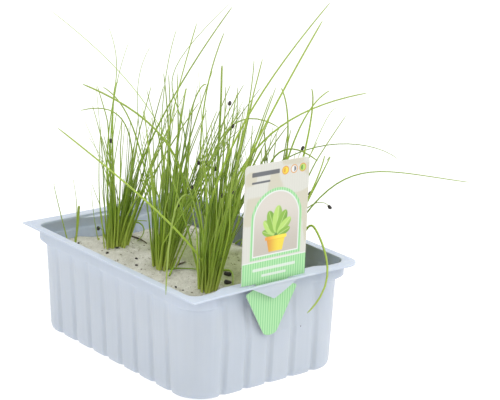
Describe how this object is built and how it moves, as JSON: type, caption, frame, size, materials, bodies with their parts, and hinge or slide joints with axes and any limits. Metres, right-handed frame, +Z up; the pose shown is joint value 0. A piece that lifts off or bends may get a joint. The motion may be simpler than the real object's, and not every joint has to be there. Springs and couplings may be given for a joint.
{
  "type": "tray of chive plants",
  "caption": "Chive tufts with slender upright leaves in sandy soil, in a rimmed, fluted plastic nursery tray with a plant label hung in its front rim.",
  "frame": {"origin": "middle of the tray's flat underside, on the surface that it stands on", "axes": "+Z up, X along the tray's short side, Y along its long side, with the plant label at the -Y end"},
  "size_m": [0.207, 0.286, 0.234],
  "materials": {
    "tray_plastic": "pale grey-blue thermoformed sheet, slightly glossy",
    "sandy_soil": "moist sandy soil, matt, with dark specks",
    "leaves": "living leaves, waxy green, paler at their base",
    "label_plastic": "printed white sheet plastic, light green at its foot"
  },
  "bodies": {
    "root": {"tray": "tray_plastic", "soil": "sandy_soil", "tuft_1": "leaves", "tuft_2": "leaves", "tuft_3": "leaves", "tuft_4": "leaves", "tuft_5": "leaves", "tuft_6": "leaves", "seedling_1": "leaves", "seedling_2": "leaves", "seedling_3": "leaves", "label": "label_plastic"}
  },
  "joints": []
}
